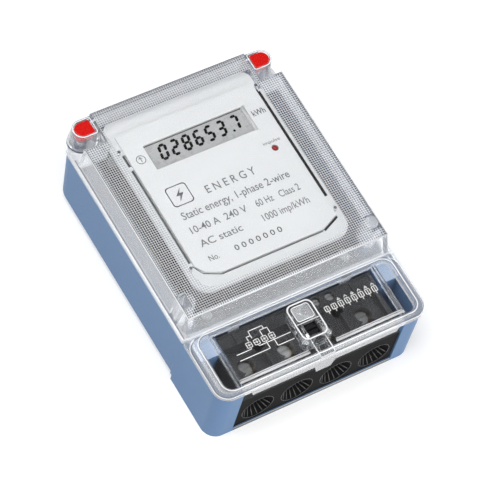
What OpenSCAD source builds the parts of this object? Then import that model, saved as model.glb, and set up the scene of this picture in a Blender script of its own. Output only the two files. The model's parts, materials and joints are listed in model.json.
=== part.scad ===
// Single-phase electronic electricity meter, lying on its back.
// +X is right as the face is read, +Y is towards the hanger end, +Z is out of the face.
// The origin is the centre of the footprint, on the plane of the mounting board.

/* [Housing] */
// Overall width
width = 112; // [110:0.5:120]
// Overall length, hanger end to cable end
length = 152.5; // [150:0.5:165]
// Overall depth, mounting board to front face
depth = 50.5; // [50:0.5:54]
// Height of the base shell's rim
rim_h = 36.3; // [36:0.1:38]
// Wall thickness of the base shell
wall = 2.2; // [2:0.1:2.6]
// Height of the upper back above the mounting board
back_step = 3.7; // [3:0.1:4.5]
// Outer corner radius at the hanger end
corner_top = 10; // [9:0.5:11]
// Outer corner radius at the cable end
corner_low = 8; // [7:0.5:9]
// Length of the terminal compartment, measured from the cable end
terminal_len = 34.4; // [33:0.1:36]

/* [Clear covers] */
// Overhang of the cover flanges past the base shell
overhang = 0.7; // [0.5:0.1:1]
// Thickness of the cover flanges
flange_t = 2; // [1.6:0.1:2.4]
// Thickness of the front cover's walls and face
clear_t = 2; // [1.8:0.1:2.2]
// Height of the terminal cover's face
tray_h = 40.5; // [40:0.1:42]
// Gap between the two covers
cover_gap = 0.5; // [0.4:0.1:1]
// Width of the corner notches for the seal wells
notch_w = 14.5; // [14:0.1:15]
// Length of the corner notches for the seal wells
notch_len = 16.8; // [16:0.1:18]

/* [Seals and screws] */
// Distance of each upper cover screw from the centre line
top_screw_x = 47.5; // [47:0.1:48]
// Distance of the upper cover screws from the middle of the length
top_screw_y = 70; // [69.5:0.1:70.5]
// Distance of each lower cover screw from the centre line
low_screw_x = 50.5; // [50.3:0.1:50.6]
// Distance of the lower cover screws from the middle of the length
low_screw_y = -29; // [-30:0.5:-28]
// Size of a seal cap across its straight sides
cap_w = 7.4; // [7:0.1:7.6]
// Height of a seal cap's button
cap_h = 4.6; // [4:0.1:5]

/* [Nameplate and display] */
// Height of the nameplate's raised panel
panel_top = 47.5; // [47:0.1:48]
// Right edge of the raised panel, from the centre line
panel_right = 37.6; // [37:0.1:38]
// Left edge of the raised panel, from the centre line
panel_left = -36.1; // [-37:0.1:-36]
// Width of the display window
lcd_w = 52.6; // [50:0.1:54]
// Height of the display window
lcd_h = 14; // [13:0.1:15]
// Middle of the display window above the middle of the length
lcd_y = 44.3; // [43:0.1:45]

/* [Terminals] */
// Pitch of the four main terminals
pitch = 20.9; // [20.5:0.1:21.1]
// Height of the cable bores' axes
cable_z = 13.3; // [13:0.1:14]
// Radius of each cable bore
cable_r = 4; // [3.5:0.1:4.2]
// Radius of each entry funnel at its mouth
funnel_r = 8.3; // [8:0.1:8.6]
// Distance of each lower mounting hole from the centre line
mount_x = 48.3; // [48:0.1:48.8]
// Lower mounting holes, from the middle of the length
mount_y = -64; // [-66:0.5:-62]
// Radius of each lower mounting hole
mount_r = 2.6; // [2.5:0.1:2.8]

/* [Hidden] */

$fn = 48;
eps = 0.01;
over = 1;

half_w = width / 2;
y_top = length / 2;
y_low = -y_top;
split_y = y_low + terminal_len;

base_x = half_w - overhang;
base_top = y_top - overhang;
base_low = y_low + overhang;
back_in_y = 2.2;
back_in_x = 0.7;
floor_z = back_step + 2;
low_floor_z = 2.2;
step_y = split_y + 1.7;
part_lo = split_y - 0.8;
part_hi = part_lo + 2;
inner_x = base_x - wall;
inner_top = base_top - wall;
inner_low = base_low + wall;
open_x = 42.9;
sill_z = 2.5;
ledge_x = 43.6;
ledge_end = split_y - 11.5;
ledge_z = rim_h - 0.7;

flange_z = rim_h + flange_t;
front_low = split_y + cover_gap / 2;
wall_in = 1.4;
face_in_x = 2.8;
face_in_top = 0.7;
face_in_low = 3.4;
tray_in = 3.7;
well_t = 1.2;
low_well_x = 49.3;
low_well_r = 3.3;
slide_gap = 0.3;
cap_x = top_screw_x + 0.8;
cap_in = 5.2;

board_z = 29.4;
board_t = 1.6;
board_top = board_z + board_t;
board_x = 42;
board_lo = -38;
board_hi = 62;
pillar_x = 37;
pillar_ys = [-31, 57];

panel_t = 1.2;
carrier_x = 41.2;
carrier_step = 57;
carrier_neck_x = 39.6;
carrier_lo = -28.5;
carrier_hi = 69;
carrier_t = 1.5;
carrier_top = panel_top - panel_t;
carrier_bot = carrier_top - carrier_t;
lcd_x = -0.2;
panel_lo = -21.9;
panel_hi = 60.9;
led_x = 29.8;
led_y = 25.2;
clips = [[-38.5, -14.8], [-38.5, 52.5], [38.5, -14.8], [38.5, 58.5]];
clip_r = 0.8;

block_x = 42.4;
block_lo = base_low + 0.6;
block_hi = part_lo - 2;
block_screw_y = block_hi - 9.2;
block_top = 27;
barrier_top = 31;
bank_top = 33.5;
bank_len = 6.8;
front_screw_y = -66.8;
rear_screw_y = -59.8;
clamp_head_r = 3.3;
term_w = 12;
term_lo = -69.5;
funnel_len = term_lo - block_lo - 1;
term_hi = block_hi - 0.6;
term_bot = cable_z - 6;
term_top = cable_z + 7.5;
tail_z = 12;
tail_end = part_hi + 6;
strap_lo = part_hi + 1;
strap_hi = tail_end - 0.2;
lead_y = strap_hi - 1.4;
aux_xs = [11.9, 19.3];
aux_y = block_hi - 2.7;
aux_top = 30;
hanger_z = 1.15;
hanger_end = 72.9;
hanger_r = 2.5;
seal_y = -61.3;
boss_z = 34.5;
fit_gap = 0.05;

function term_x(i) = (i - 2.5) * pitch;

// Rounded slab with radius r0 on its two lower corners and r1 on its two upper ones
module slab(x0, x1, y0, y1, r0, r1, z0, z1) {
    translate([0, 0, z0])
        linear_extrude(z1 - z0) {
            translate([x0, y0 + r0])
                square([x1 - x0, y1 - y0 - r0 - r1]);
            translate([x0 + r0, y0])
                square([x1 - x0 - 2 * r0, r0 + eps]);
            translate([x0 + r1, y1 - r1 - eps])
                square([x1 - x0 - 2 * r1, r1 + eps]);
            for (x = [x0 + r0, x1 - r0])
                translate([x, y0 + r0])
                    circle(r0);
            for (x = [x0 + r1, x1 - r1])
                translate([x, y1 - r1])
                    circle(r1);
        }
}

// Plain box between two corners
module box(x0, x1, y0, y1, z0, z1) {
    translate([x0, y0, z0])
        cube([x1 - x0, y1 - y0, z1 - z0]);
}

// Upright cylinder from z0 to z1
module post(x, y, r, z0, z1) {
    translate([x, y, z0])
        cylinder(h = z1 - z0, r = r);
}

// D outline of the right-hand wells and caps: straight side inwards, half round outwards
module dee(side, x, y, half, inward, z0, z1) {
    mirror([side < 0 ? 1 : 0, 0, 0])
        translate([0, 0, z0])
            linear_extrude(z1 - z0) {
                translate([x - inward, y - half])
                    square([inward, 2 * half]);
                translate([x, y])
                    circle(half);
            }
}

// Screw with a slotted head, standing on its tip
module slot_screw(x, y, head_r, head_h, head_z, shank_r, tip_z, slot_w = 1) {
    difference() {
        union() {
            post(x, y, head_r, head_z, head_z + head_h);
            post(x, y, shank_r, tip_z, head_z + eps);
        }
        translate([x, y, head_z + head_h * 0.75])
            cube([3 * head_r, slot_w, head_h * 0.51], center = true);
    }
}

// ---------------------------------------------------------------- housing

module upper_tub() {
    hull() {
        slab(-base_x + back_in_x, base_x - back_in_x, step_y, base_top - back_in_y,
             1, corner_top, back_step, back_step + eps);
        slab(-base_x, base_x, step_y, base_top, 1, corner_top, rim_h - eps, rim_h);
    }
}

module metering_chamber() {
    x = inner_x - back_in_x;
    r = corner_top - wall;
    hull() {
        slab(-x, x, part_hi, inner_top - back_in_y, 1, r, floor_z, floor_z + eps);
        slab(-inner_x, inner_x, part_hi, inner_top, 1, r, rim_h, rim_h + eps);
    }
}

module hanger_rails() {
    for (side = [-1, 1])
        mirror([side < 0 ? 1 : 0, 0, 0]) {
            box(12.4, 15, 34, 70, 0.3, back_step + eps);
            box(10.6, 12.5, 34, 70, 0.3, 1);
        }
    box(-6, 6, 30, 32, 0.3, back_step + eps);
}

module base_posts() {
    for (side = [-1, 1]) {
        post(side * top_screw_x, top_screw_y, 3.6, rim_h - 22, rim_h);
        post(side * low_screw_x, low_screw_y, 3.6, back_step + 1, rim_h);
        post(side * pitch, block_screw_y, 3, low_floor_z - eps, 6);
        for (y = pillar_ys)
            post(side * pillar_x, y, 3.6, floor_z - eps, board_z);
    }
}

module ledges() {
    for (side = [-1, 1])
        mirror([side < 0 ? 1 : 0, 0, 0])
            box(ledge_x, inner_x + 0.5, ledge_end, part_lo + eps, low_floor_z - eps, ledge_z);
}

module base_shell() {
    color("#7391b4")
        difference() {
            union() {
                difference() {
                    union() {
                        upper_tub();
                        slab(-base_x, base_x, base_low, step_y + 2, corner_low - overhang, 1,
                             0, rim_h);
                    }
                    // the lower section's overlap stays off the board above the step
                    box(-half_w, half_w, step_y, step_y + 3, -over, back_step);
                    metering_chamber();
                    // terminal chamber
                    slab(-inner_x, inner_x, inner_low, part_lo, corner_low - wall, 1,
                         low_floor_z, rim_h + over);
                    // cable end, open for the terminal block
                    box(-open_x, open_x, base_low - over, inner_low + over, sill_z, rim_h + over);
                }
                base_posts();
                ledges();
                hanger_rails();
                for (side = [-1, 1])
                    post(side * 44, 64, 4, 0, back_step + 1);
            }
            for (side = [-1, 1]) {
                // screw holes for the front cover
                post(side * top_screw_x, top_screw_y, 1.5 + fit_gap, rim_h - 16, rim_h + over);
                post(side * low_screw_x, low_screw_y, 1.2 + fit_gap, rim_h - 16, rim_h + over);
                // lower mounting holes
                post(side * mount_x, mount_y, mount_r, -over, low_floor_z + over);
                for (y = pillar_ys)
                    post(side * pillar_x, y, 1.2, board_z - 12, board_z + over);
                // pilot holes of the terminal block's own screws
                post(side * pitch, block_screw_y, 1.2, 1, 8);
            }
            // gasket groove round the metering chamber
            difference() {
                slab(-base_x + 0.6, base_x - 0.6, part_lo + 0.5, base_top - 0.6,
                     1, corner_top - 0.6, rim_h - 0.9, rim_h + over);
                slab(-base_x + 1.6, base_x - 1.6, part_lo + 1.5, base_top - 1.6,
                     1, corner_top - 1.6, rim_h - over, rim_h + 2 * over);
            }
            // slots for the terminal tails and the sensing leads
            for (i = [1:4])
                box(term_x(i) - 3.4, term_x(i) + 3.4, part_lo - over, part_hi + over, 8.6, 14.4);
        }
}

module cover_gasket() {
    g = 0.65;
    color("#b3b5b8")
        difference() {
            slab(-base_x + g, base_x - g, part_lo + 0.55, base_top - g,
                 1, corner_top - g, rim_h - 0.9, rim_h);
            slab(-base_x + 1.5, base_x - 1.5, part_lo + 1.4, base_top - 1.5,
                 1, corner_top - 1.5, rim_h - over, rim_h + over);
        }
}

// Tapered box of the front cover, pulled in by t for its inside
module cover_box(t, z0, z1) {
    r = corner_top - wall_in;
    hull() {
        slab(-half_w + wall_in + t, half_w - wall_in - t, front_low + 0.4 + t, y_top - 0.1 - t,
             1.5, r - t, z0, z0 + eps);
        slab(-half_w + face_in_x + t, half_w - face_in_x - t, front_low + face_in_low + t,
             y_top - face_in_top - t, 1.5, r - 1 - t, z1 - eps, z1);
    }
}

module cover_shell() {
    difference() {
        union() {
            slab(-half_w, half_w, front_low, y_top, 0.8, corner_top, rim_h, flange_z);
            cover_box(0, flange_z - eps, depth);
        }
        difference() {
            cover_box(clear_t, rim_h - over, depth - clear_t);
            // the corner notches keep their own walls and floor
            for (side = [-1, 1])
                mirror([side < 0 ? 1 : 0, 0, 0]) {
                    box(half_w - notch_w - 1.5, half_w, y_top - notch_len - 1.5, y_top,
                        rim_h - 2 * over, depth);
                    dee(1, low_well_x, low_screw_y, low_well_r + well_t, 0.9 + well_t,
                        rim_h - 2 * over, depth);
                }
        }
        for (side = [-1, 1])
            mirror([side < 0 ? 1 : 0, 0, 0])
                box(half_w - notch_w, half_w + over, y_top - notch_len, y_top + over,
                    flange_z, depth + over);
    }
}

module front_cover() {
    color("#e6eef4", 0.35)
        difference() {
            union() {
                cover_shell();
                for (side = [-1, 1]) {
                    // seal wells standing in the corner notches
                    hull() {
                        dee(side, cap_x, top_screw_y, 6, 6.9, flange_z - eps, flange_z);
                        dee(side, cap_x, top_screw_y, 4.9, 6.9, depth - 0.6, depth - 0.5);
                    }
                }
                // clips that carry the nameplate
                for (c = clips) {
                    post(c[0], c[1], clip_r, carrier_bot - 0.2, depth - clear_t + eps);
                    post(c[0], c[1], clip_r + 0.4, carrier_bot - 1.2, carrier_bot - 0.2);
                }
            }
            for (side = [-1, 1]) {
                dee(side, cap_x, top_screw_y, cap_w / 2 + slide_gap, cap_in + slide_gap,
                    flange_z, depth + over);
                dee(side, low_well_x, low_screw_y, low_well_r, 0.9, flange_z, depth + over);
                post(side * top_screw_x, top_screw_y, 1.5 + fit_gap, rim_h - over, flange_z + over);
                post(side * low_screw_x, low_screw_y, 1.2 + fit_gap, rim_h - over, flange_z + over);
            }
        }
}

// ---------------------------------------------------------------- terminal cover

module boss_outline() {
    translate([-6.8, -65])
        square([13.6, 13]);
    for (side = [-1, 1]) {
        translate([side * 1.8, -52])
            circle(5);
        translate([side * 4.4, -65.2])
            circle(3.2);
    }
    translate([-1.8, -52])
        square([3.6, 5]);
    translate([-4.4, -68.4])
        square([8.8, 6]);
}

module terminal_cover() {
    skirt_y = y_low;
    skirt_t = 1.05;
    color("#e9eff4", 0.35)
        difference() {
            union() {
                difference() {
                    union() {
                        slab(-half_w, half_w, y_low, split_y - cover_gap / 2, corner_low, 0.8,
                             rim_h, flange_z);
                        slab(-half_w + tray_in, half_w - tray_in, y_low + 2, split_y - 1.2,
                             corner_low - 2, 2, flange_z - eps, tray_h);
                    }
                    slab(-half_w + tray_in + 1.6, half_w - tray_in - 1.6, y_low + 3.6,
                         split_y - 2.8, corner_low - 3.6, 1, rim_h - over, tray_h - 1.6);
                }
                // skirt over the top of the cable openings, with its sealing tab
                translate([0, skirt_y + skirt_t, 0])
                    rotate([90, 0, 0])
                        linear_extrude(skirt_t)
                            polygon([[-39.8, rim_h + 1], [-38.4, 32.8], [-5.6, 32.8],
                                     [-3.8, 27.4], [3.8, 27.4], [5.6, 32.8],
                                     [38.4, 32.8], [39.8, rim_h + 1]]);
                // well of the sealing screw, with its neck to the tab
                translate([0, 0, boss_z])
                    linear_extrude(tray_h + 0.8 - boss_z)
                        boss_outline();
                box(-3.9, 3.9, y_low + 0.3, -66, tray_h - 1.6, tray_h + 0.8);
                box(-3.9, 3.9, y_low + 0.3, y_low + 2.5, rim_h, tray_h);
                post(0, seal_y, 3.4, block_top + 0.5, boss_z + eps);
                // stiffening ribs beside the terminal block
                for (x = [-44, -42.6, 42.6, 44])
                    box(x - 0.3, x + 0.3, y_low + 3.4, split_y - 2.6, rim_h + 0.4, tray_h - 1.5);
                // pegs that drop behind the partition
                for (side = [-1, 1])
                    box(side * 30 - 2.5, side * 30 + 2.5, part_lo - 1.6, part_lo - 0.4,
                        rim_h - 5, rim_h + eps);
            }
            // seal wire pocket and screw pocket
            slab(-4.4, 4.4, -56.4, -48.9, 0.6, 2, boss_z + 1.4, tray_h + 2);
            box(-3.4, 3.4, seal_y - 3.4, seal_y + 3.4, boss_z + 1.4, tray_h + 2);
            post(0, seal_y, 1.5 + fit_gap, block_top, boss_z + 2);
            box(-2.3, 2.3, -74.6, -68.2, tray_h, tray_h + 2);
        }
}

module terminal_cover_screw() {
    color("#202225")
        difference() {
            slot_screw(0, seal_y, 3, 3.4, boss_z + 1.45, 1.5, 16, 1.1);
            translate([0, seal_y, boss_z + 2.3])
                rotate([0, 90, 0])
                    cylinder(h = 8, r = 0.6, center = true);
        }
}

// ---------------------------------------------------------------- seals and cover screws

module seal_cap(side) {
    color("#e51f1b") {
        dee(side, cap_x, top_screw_y, cap_w / 2, cap_in, depth - 0.7 - cap_h, depth - 0.7);
        dee(side, cap_x, top_screw_y, 1.4, 2.6, depth - 3 - cap_h, depth - cap_h);
    }
}

module seal_cap_left() { seal_cap(-1); }
module seal_cap_right() { seal_cap(1); }

module cover_screw(x, y, head_r, shank_r) {
    color("#b9bcc0")
        slot_screw(x, y, head_r, 2, flange_z + 0.05, shank_r, rim_h - 14, 0.9);
}

module cover_screw_top_left() { cover_screw(-top_screw_x, top_screw_y, 2.5, 1.5); }
module cover_screw_top_right() { cover_screw(top_screw_x, top_screw_y, 2.5, 1.5); }
module cover_screw_low_left() { cover_screw(-low_screw_x, low_screw_y, 1.8, 1.2); }
module cover_screw_low_right() { cover_screw(low_screw_x, low_screw_y, 1.8, 1.2); }

// ---------------------------------------------------------------- nameplate and display

// Outline of the raised panel with its two lower corners cut off, pulled in by shrink
module panel_outline(shrink) {
    x0 = panel_left + shrink;
    x1 = panel_right - shrink;
    y0 = panel_lo + shrink;
    y1 = panel_hi - shrink;
    polygon([[x0, y1], [x0, y0 + 7.6], [x0 + 2.8, y0 + 3.4], [x0 + 10, y0],
             [x1 - 9.5, y0], [x1, y0 + 4.2], [x1, y1]]);
}

module nameplate() {
    under = carrier_bot;
    groove_z = carrier_top - 1;
    color("#e9e9e7")
        difference() {
            union() {
                slab(-carrier_x, carrier_x, carrier_lo, carrier_step, 8, 1, under, carrier_top);
                slab(-carrier_neck_x, carrier_neck_x, carrier_step - 6, carrier_hi, 1, 5,
                     under, carrier_top);
                translate([0, 0, carrier_top - eps])
                    linear_extrude(panel_t + eps)
                        panel_outline(0);
            }
            // hollow behind the raised panel
            translate([0, 0, under - over])
                linear_extrude(carrier_t + over)
                    panel_outline(1.3);
            // display window
            slab(lcd_x - lcd_w / 2, lcd_x + lcd_w / 2, lcd_y - lcd_h / 2, lcd_y + lcd_h / 2,
                 0.3, 0.3, under, panel_top + over);
            post(led_x, led_y, 1.7, under, panel_top + over);
            // long slot down the right side of the panel, and one along its cut corner
            box(panel_right, panel_right + 2.1, -6.8, 55.9, under - over, panel_top + over);
            box(panel_right, panel_right + 1.4, 55.5, 57.4, under - over, panel_top + over);
            translate([0, 0, under - over])
                linear_extrude(carrier_t + panel_t + 2 * over)
                    polygon([[panel_right - 9.1, panel_lo], [panel_right, panel_lo + 4],
                             [panel_right + 0.5, panel_lo + 3], [panel_right - 8.6, panel_lo - 1]]);
            // grooves down the left side and along the bottom
            for (y = [[-11.6, 42.3], [44.3, 51]])
                box(panel_left - 1.4, panel_left, y[0], y[1], groove_z, panel_top + over);
            box(panel_left + 10, panel_right - 9.5, panel_lo - 0.8, panel_lo,
                groove_z, panel_top + over);
            for (c = clips)
                post(c[0], c[1], clip_r + 0.15, under - over, panel_top + over);
        }
}

module lcd_glass() {
    color("#b9bbb9")
        slab(lcd_x - 29, lcd_x + 29, lcd_y - 10, lcd_y + 10, 0.3, 0.3,
             carrier_top - 2.9, carrier_top - 0.1);
}

module lcd_holder() {
    top = carrier_top - 2.9;
    color("#d9dad8")
        difference() {
            slab(lcd_x - 30.5, lcd_x + 30.5, lcd_y - 11.5, lcd_y + 11.5, 1, 1, board_top, top);
            for (side = [-1, 1])
                box(lcd_x - 28, lcd_x + 28, lcd_y + side * 9 - 1.2, lcd_y + side * 9 + 1.2,
                    board_top - over, top + over);
            box(lcd_x - 28, lcd_x + 28, lcd_y - 6.5, lcd_y + 6.5, board_top - over, top - 1.5);
        }
}

module lcd_connectors() {
    color("#4a4c4e")
        for (side = [-1, 1])
            box(lcd_x - 27.5, lcd_x + 27.5, lcd_y + side * 9 - 0.9, lcd_y + side * 9 + 0.9,
                board_top, carrier_top - 2.9);
}

module pulse_led() {
    color("#7e1a1c") {
        post(led_x, led_y, 1.5, 43, panel_top - 0.9);
        translate([led_x, led_y, panel_top - 0.9])
            intersection() {
                sphere(1.5);
                post(0, 0, 2, 0, 2);
            }
        post(led_x, led_y, 1.8, 42.4, 43.4);
        for (side = [-1, 1])
            box(led_x + side * 1.27 - 0.25, led_x + side * 1.27 + 0.25, led_y - 0.25,
                led_y + 0.25, board_top, 42.5);
    }
}

module led_spacer() {
    color("#2b2d30")
        difference() {
            post(led_x, led_y, 2.6, board_top, 42.4);
            box(led_x - 1.7, led_x + 1.7, led_y - 0.5, led_y + 0.5, board_top - over, 43);
        }
}

// ---------------------------------------------------------------- electronics

module main_board() {
    color("#1b2022")
        difference() {
            slab(-board_x, board_x, board_lo, board_hi, 1.5, 1.5, board_z, board_top);
            for (x = [-pillar_x, pillar_x], y = pillar_ys)
                post(x, y, 1.6, board_z - over, board_top + over);
        }
}

module board_screws() {
    color("#a9adb1")
        for (x = [-pillar_x, pillar_x], y = pillar_ys)
            slot_screw(x, y, 2.4, 1.8, board_top, 1.15, board_z - 8, 0.7);
}

module metering_chip() {
    color("#1d1f22") {
        box(-5, 5, -19, -12, board_top + 0.2, board_top + 2.2);
        for (i = [0:7], side = [-1, 1])
            box(-4.6 + i * 1.27, -4.2 + i * 1.27, side > 0 ? -12 : -20.4, side > 0 ? -10.6 : -19,
                board_top, board_top + 0.8);
    }
}

module controller_chip() {
    color("#1a1c1f") {
        box(-6, 6, 4, 16, board_top + 0.2, board_top + 1.8);
        for (i = [0:9], side = [-1, 1]) {
            box(-5.2 + i * 1.1, -4.8 + i * 1.1, side > 0 ? 16 : 2.8, side > 0 ? 17.2 : 4,
                board_top, board_top + 0.7);
            box(side > 0 ? 6 : -7.2, side > 0 ? 7.2 : -6, 4.8 + i * 1.1, 5.2 + i * 1.1,
                board_top, board_top + 0.7);
        }
    }
}

module crystal() {
    color("#c7cbcf")
        slab(13, 17.6, 4, 15, 2.2, 2.2, board_top, board_top + 3.5);
}

module x_capacitor() {
    color("#d7c23c")
        box(-36, -10, 8, 18, board_z - 18, board_z);
}

module electrolytic_capacitors() {
    color("#28303f")
        for (x = [6, 20])
            difference() {
                post(x, 34, 5, board_z - 17, board_z);
                for (turn = [0, 90])
                    translate([x, 34, board_z - 17])
                        rotate([0, 0, turn])
                            cube([7, 0.5, 0.6], center = true);
            }
}

module varistor() {
    color("#2a62b4") {
        translate([-22, -10, board_z - 11])
            rotate([90, 0, 0])
                cylinder(h = 4.6, r = 7, center = true);
        for (side = [-1, 1])
            post(-22 + side * 3.75, -10, 0.4, board_z - 7, board_z);
    }
}

module optocoupler() {
    color("#e8e6df")
        box(22, 28.4, -14, -9.5, board_top, board_top + 3.6);
}

module dropper_resistors() {
    color("#6f8fb0")
        for (i = [0:4])
            translate([26, -14 + 5 * i, board_z - 2.2])
                rotate([0, 90, 0])
                    cylinder(h = 9, r = 1.6, center = true);
    color("#b7bbbf")
        for (i = [0:4], side = [-1, 1])
            post(26 + side * 5.2, -14 + 5 * i, 0.35, board_z - 2.5, board_z);
    color("#b7bbbf")
        for (i = [0:4], side = [-1, 1])
            translate([26 + side * 4.9, -14 + 5 * i, board_z - 2.2])
                rotate([0, 90, 0])
                    cylinder(h = 1.1, r = 0.35, center = true);
}

// ---------------------------------------------------------------- terminals

module terminal_block() {
    color("#232427")
        difference() {
            union() {
                box(-block_x, block_x, block_lo, block_hi, sill_z + 0.1, block_top);
                // tall bank along the back, for the auxiliary contacts
                box(-block_x, block_x, block_hi - bank_len, block_hi, block_top - eps, bank_top);
                // barriers between the terminals
                for (i = [-2:2])
                    box(i * pitch - (i == 2 ? 1.5 : 0.9), i * pitch + (i == -2 ? 1.5 : 0.9),
                        block_lo + 4.5, block_hi - bank_len + eps, block_top - eps, barrier_top);
            }
            for (i = [1:4]) {
                x = term_x(i);
                // entry funnel and cable bore
                translate([x, block_lo - eps, cable_z])
                    rotate([-90, 0, 0])
                        cylinder(h = funnel_len + eps, r1 = funnel_r, r2 = cable_r + 0.4);
                translate([x, block_lo + funnel_len - eps, cable_z])
                    rotate([-90, 0, 0])
                        cylinder(h = 3, r = cable_r);
                // pocket of the brass terminal, open at the back
                box(x - term_w / 2 - 0.1, x + term_w / 2 + 0.1, term_lo - 0.1, block_hi + over,
                    term_bot - 0.1, term_top + 0.1);
                // wells of the clamp screws
                post(x, front_screw_y, 4, term_top - eps, block_top + over);
                post(x, rear_screw_y, 4, term_top - eps, block_top + over);
            }
            // shallow marking recesses on the bank
            for (i = [-3.5:3.5])
                box(i * pitch / 2 - 4.3, i * pitch / 2 + 4.3, block_hi - bank_len + 0.8,
                    block_hi - 0.8, bank_top - 0.8, bank_top + over);
            // pockets and wells of the auxiliary contacts
            for (x = aux_xs) {
                box(x - 3.1, x + 3.1, aux_y - 2.6, block_hi + over, aux_top - 6.1, aux_top + 0.1);
                post(x, aux_y, 2.3, aux_top - eps, bank_top + over);
            }
            // pilot of the sealing screw
            post(0, seal_y, 1.5 + fit_gap, 14, barrier_top + over);
            box(-4, 4, seal_y - 4, seal_y + 4, block_top, barrier_top + over);
            for (side = [-1, 1]) {
                post(side * pitch, block_screw_y, 3.1, sill_z - over, 6.1);
                post(side * pitch, block_screw_y, 1.4, 6, 12);
                post(side * pitch, block_screw_y, 3, 10, barrier_top + over);
            }
        }
}

module brass_terminal(i) {
    x = term_x(i);
    color("#c9a24a")
        difference() {
            union() {
                box(x - term_w / 2, x + term_w / 2, term_lo, term_hi, term_bot, term_top);
                // tail that passes through the partition
                box(x - 3, x + 3, term_hi - eps, tail_end, tail_z - 3, tail_z);
            }
            translate([x, term_lo - over, cable_z])
                rotate([-90, 0, 0])
                    cylinder(h = 18, r = cable_r);
            post(x, front_screw_y, 2.4 + fit_gap, cable_z, term_top + over);
            post(x, rear_screw_y, 2.4 + fit_gap, cable_z, term_top + over);
        }
}

module terminal_1() { brass_terminal(1); }
module terminal_2() { brass_terminal(2); }
module terminal_3() { brass_terminal(3); }
module terminal_4() { brass_terminal(4); }

module clamp_screw(i, y) {
    color("#d5d8da")
        slot_screw(term_x(i), y, clamp_head_r, 2.2, term_top + 0.05, 2.4, cable_z + cable_r + 0.1, 1.2);
}

module clamp_screw_1_front() { clamp_screw(1, front_screw_y); }
module clamp_screw_1_rear() { clamp_screw(1, rear_screw_y); }
module clamp_screw_2_front() { clamp_screw(2, front_screw_y); }
module clamp_screw_2_rear() { clamp_screw(2, rear_screw_y); }
module clamp_screw_3_front() { clamp_screw(3, front_screw_y); }
module clamp_screw_3_rear() { clamp_screw(3, rear_screw_y); }
module clamp_screw_4_front() { clamp_screw(4, front_screw_y); }
module clamp_screw_4_rear() { clamp_screw(4, rear_screw_y); }

module aux_contacts() {
    color("#c9a24a")
        for (x = aux_xs)
            difference() {
                box(x - 3, x + 3, aux_y - 2.5, aux_y + 2.5, aux_top - 6, aux_top);
                post(x, aux_y, 1.25 + fit_gap, aux_top - 5, aux_top + over);
            }
}

module aux_screw(x) {
    color("#dfe2e4")
        slot_screw(x, aux_y, 1.9, 1.6, aux_top + 0.05, 1.25, aux_top - 4.5, 0.8);
}

module aux_screw_left() { aux_screw(aux_xs[0]); }
module aux_screw_right() { aux_screw(aux_xs[1]); }

module block_screws() {
    color("#a9adb1")
        for (side = [-1, 1])
            slot_screw(side * pitch, block_screw_y, 2.5, 1.8, 10, 1.15, 1.6, 0.8);
}

// Copper lugs of the current shunt, on the tails of the live terminals
module shunt() {
    color("#b8703f")
        for (x = [term_x(1), term_x(2)])
            box(x < -pitch ? x - 3 : x - 7, x < -pitch ? x + 7 : x + 3,
                strap_lo, strap_hi, tail_z, tail_z + 1.5);
}

// Resistance bar between the two lugs
module shunt_bar() {
    color("#8d8578")
        box(term_x(1) + 7, term_x(2) - 7, strap_lo, strap_hi, tail_z, tail_z + 1.5);
}

module neutral_link() {
    color("#b8703f")
        box(term_x(3) - 3, term_x(4) + 3, strap_lo, strap_hi, tail_z, tail_z + 1.5);
}

// Stiff leads from the shunt and the neutral link up to the board
module sense_leads() {
    color("#c23a30")
        for (x = [-26, -16.5, pitch])
            post(x, lead_y, 0.6, tail_z + 1.5, board_z);
}

// ---------------------------------------------------------------- hanger

module hanger_plate() {
    color("#c3c6c9")
        difference() {
            slab(-12, 12, 34, hanger_end, 1, 4, hanger_z, hanger_z + 1.5);
            post(0, hanger_end - 5.5, hanger_r, 0, back_step);
            slab(-3.5, 3.5, 44, 56, 3.4, 3.4, 0, back_step);
        }
}

base_shell();
front_cover();
cover_gasket();
terminal_cover();
terminal_cover_screw();
seal_cap_left();
seal_cap_right();
cover_screw_top_left();
cover_screw_top_right();
cover_screw_low_left();
cover_screw_low_right();
nameplate();
lcd_glass();
lcd_holder();
lcd_connectors();
pulse_led();
led_spacer();
main_board();
board_screws();
metering_chip();
controller_chip();
crystal();
x_capacitor();
electrolytic_capacitors();
varistor();
optocoupler();
dropper_resistors();
terminal_block();
terminal_1();
terminal_2();
terminal_3();
terminal_4();
clamp_screw_1_front();
clamp_screw_1_rear();
clamp_screw_2_front();
clamp_screw_2_rear();
clamp_screw_3_front();
clamp_screw_3_rear();
clamp_screw_4_front();
clamp_screw_4_rear();
aux_contacts();
aux_screw_left();
aux_screw_right();
block_screws();
shunt();
shunt_bar();
neutral_link();
sense_leads();
hanger_plate();
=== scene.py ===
import json
import math

import bmesh
import bpy
from mathutils import Matrix, Vector

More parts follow.
